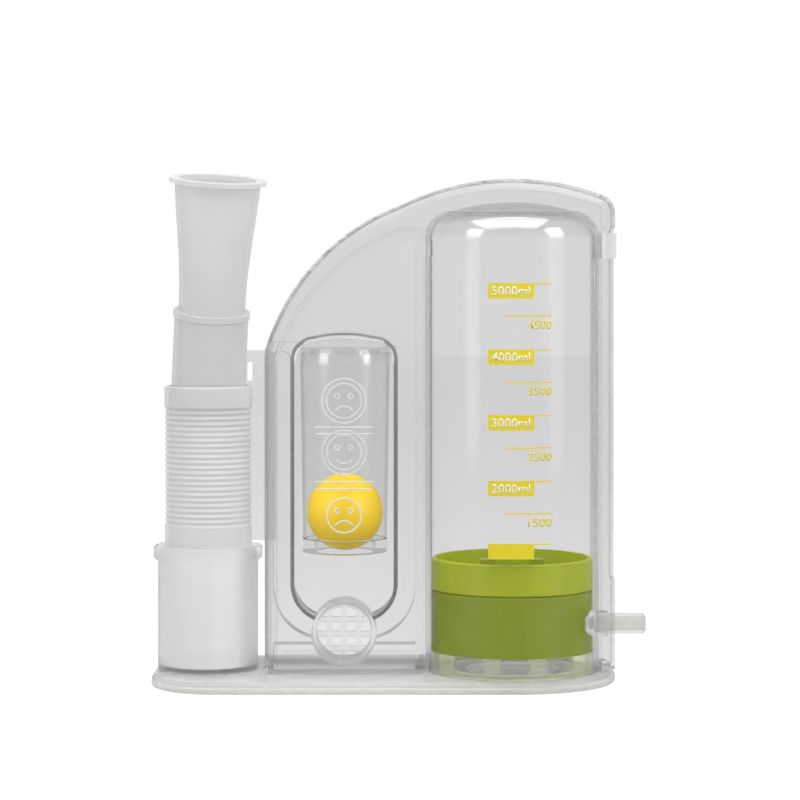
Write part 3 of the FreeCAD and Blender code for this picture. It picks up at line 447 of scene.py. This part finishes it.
def wrap(piece, lift):
    """Bend flat print round the cylinder's front and give it the thickness of ink."""
    reach = wall + lift
    for vertex in piece.data.vertices:
        vertex.co.y = -math.sqrt(reach ** 2 - (vertex.co.x - axis_x) ** 2)
    pick(piece)
    skin = piece.modifiers.new("ink", "SOLIDIFY")
    skin.thickness = INK_THICKNESS
    skin.offset = 0
    bpy.ops.object.modifier_apply(modifier=skin.name)


def joined(pieces, name, material):
    """Several small pieces as one, with one finish."""
    clear_selection()
    for piece in pieces:
        piece.select_set(True)
    bpy.context.view_layer.objects.active = pieces[0]
    bpy.ops.object.join()
    whole = bpy.context.object
    whole.name = name
    whole.data.materials.clear()
    whole.data.materials.append(material)
    return whole


# %% Boxes, lines and figures
ink = []
knocked_out = []
for volume, top in THOUSANDS.items():
    z = top * MM
    ink.append(slab(PRINT_LEFT, BOX_RIGHT, z - BOX_HEIGHT, z, f"box_{volume}"))
    ink.append(slab(BOX_RIGHT, PRINT_RIGHT, z - LINE, z, f"line_{volume}"))
    if volume > 1000:
        knocked_out.append(words(f"{volume}ml", FIGURE_LEFT, z - FIGURE_DROP, FIGURE_HEIGHT, FIGURE_WIDTH,
                                 FIGURE_WEIGHT, f"figures_{volume}"))
for volume, top in HALVES.items():
    z = top * MM
    ink.append(slab(HALF_LEFT, PRINT_RIGHT, z - LINE, z, f"line_{volume}"))
    ink.append(words(str(volume), HALF_FIGURE_LEFT, z - HALF_FIGURE_DROP, HALF_FIGURE_HEIGHT, HALF_FIGURE_WIDTH,
                     HALF_FIGURE_WEIGHT, f"figures_{volume}"))
for piece in ink:
    wrap(piece, INK_LIFT)
for piece in knocked_out:
    wrap(piece, FIGURE_LIFT)
scale_ink = joined(ink, "scale_ink", yellow_print)
scale_figures = joined(knocked_out, "scale_figures", pale_print)
for piece in (scale_ink, scale_figures):
    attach(piece, "housing")
print("scale faces:", len(scale_ink.data.polygons), len(scale_figures.data.polygons))

# %% [markdown]
# ## Raised signs on the flow window
# The window carries three moulded faces, sad, glad and sad, with double lines between them: the ball should float at
# the glad one. Each line is a thin raised bead, so a torus flattened against the window makes it, and a mouth is the
# part of a torus that a flat cut leaves, with the cut filled.

# %% Beads on the window
window_low, window_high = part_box("flow_window")
front = window_low[1]
window_x = (window_low[0] + window_high[0]) / 2
BEAD, EYE_BEAD = 0.28 * MM, 0.25 * MM
FLATTENED = 0.7
FACE_RADIUS, RIM_RADIUS = 5.7 * MM, 7.3 * MM
EYE_RADIUS, EYE_OUT, EYE_UP = 0.8 * MM, 2.2 * MM, 1.6 * MM
MOUTH_RADIUS, MOUTH_HALF_ANGLE, SAD_DROP = 3.6 * MM, 0.95, 5.4 * MM
FACES = ((94.7 * MM, False), (77.7 * MM, True), (56.9 * MM, False))
LEVELS = (86.0 * MM, 83.8 * MM, 68.0 * MM, 65.7 * MM)
LEVEL_LEFT, LEVEL_RIGHT = -22.8 * MM, -3.8 * MM
print(f"window front at y {front / MM:.2f} mm, middle at x {window_x / MM:.2f} mm")


def bead_ring(radius, x, z, name, bead=BEAD):
    """A flat raised ring on the window."""
    clear_selection()
    bpy.ops.mesh.primitive_torus_add(major_radius=radius, minor_radius=bead, major_segments=48, minor_segments=10)
    piece = bpy.context.object
    piece.name = name
    piece.scale = (1, 1, FLATTENED)
    piece.rotation_euler = UPRIGHT
    piece.location = (x, front, z)
    settle(piece)
    return piece


def mouth(z, upper, name):
    """The upper or lower part of a ring, capped at both ends."""
    piece = bead_ring(MOUTH_RADIUS, window_x, z, name)
    reach = math.cos(MOUTH_HALF_ANGLE) * MOUTH_RADIUS
    bpy.ops.object.mode_set(mode="EDIT")
    bpy.ops.mesh.select_all(action="SELECT")
    bpy.ops.mesh.bisect(plane_co=(window_x, front, z + (reach if upper else -reach)), plane_no=(0, 0, 1),
                        use_fill=True, clear_inner=upper, clear_outer=not upper)
    bpy.ops.object.mode_set(mode="OBJECT")
    return piece


def bead_bar(left, right, z, name):
    """A straight raised line with rounded long edges."""
    clear_selection()
    bpy.ops.mesh.primitive_cylinder_add(vertices=12, radius=BEAD, depth=right - left)
    piece = bpy.context.object
    piece.name = name
    piece.scale = (1, FLATTENED, 1)
    piece.rotation_euler = (0, math.radians(90), 0)
    piece.location = ((left + right) / 2, front, z)
    settle(piece)
    return piece


# %% Faces and lines
beads = []
for index, (z, glad) in enumerate(FACES):
    beads.append(bead_ring(FACE_RADIUS, window_x, z, f"face_{index}"))
    if index < 2:
        beads.append(bead_ring(RIM_RADIUS, window_x, z, f"rim_{index}"))
    for side in (-1, 1):
        beads.append(bead_ring(EYE_RADIUS, window_x + side * EYE_OUT, z + EYE_UP, f"eye_{index}_{side}", EYE_BEAD))
    beads.append(mouth(z if glad else z - SAD_DROP, not glad, f"mouth_{index}"))
for index, z in enumerate(LEVELS):
    beads.append(bead_bar(LEVEL_LEFT, LEVEL_RIGHT, z, f"level_{index}"))
relief = milky_plastic("relief", (0.80, 0.80, 0.78), 0.7, 0.3)
window_signs = joined(beads, "window_signs", relief)
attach(window_signs, "housing")
print("sign faces:", len(window_signs.data.polygons))

# %% [markdown]
# ## Floor
# A paper floor takes the object's soft shadow. It glows nearly as white as the backdrop where the camera sees it,
# also through clear pieces, so that no horizon line shows, and is dimmer to the rays that light solid pieces.

# %% Floor
FLOOR_SIZE, FLOOR_Z = 6, -0.1 * MM
FLOOR_GREY, FLOOR_ROUGHNESS = 0.25, 0.9
BACKDROP_GLOW, VIEW_GLOW, LEAST_GLOW = 0.82, 0.08, 0.3
clear_selection()
bpy.ops.mesh.primitive_plane_add(size=FLOOR_SIZE, location=(0, 0, FLOOR_Z))
floor = bpy.context.object
floor.name = "floor"
floor_material, floor_shader, floor_place = finish("floor_paper")
floor_shader.inputs["Base Color"].default_value = (FLOOR_GREY, FLOOR_GREY, FLOOR_GREY, 1)
floor_shader.inputs["Roughness"].default_value = FLOOR_ROUGHNESS
floor_shader.inputs["Emission Color"].default_value = (1, 1, 1, 1)
in_view = Wire(floor_place.tree, floor_place.node("ShaderNodeLightPath").outputs["Is Camera Ray"])
floor_glow = backdrop_share(floor_place.tree) * BACKDROP_GLOW + in_view * VIEW_GLOW
floor_glow.larger(LEAST_GLOW).into(floor_shader.inputs["Emission Strength"])
floor.data.materials.append(floor_material)
print("floor:", FLOOR_SIZE, "m across")
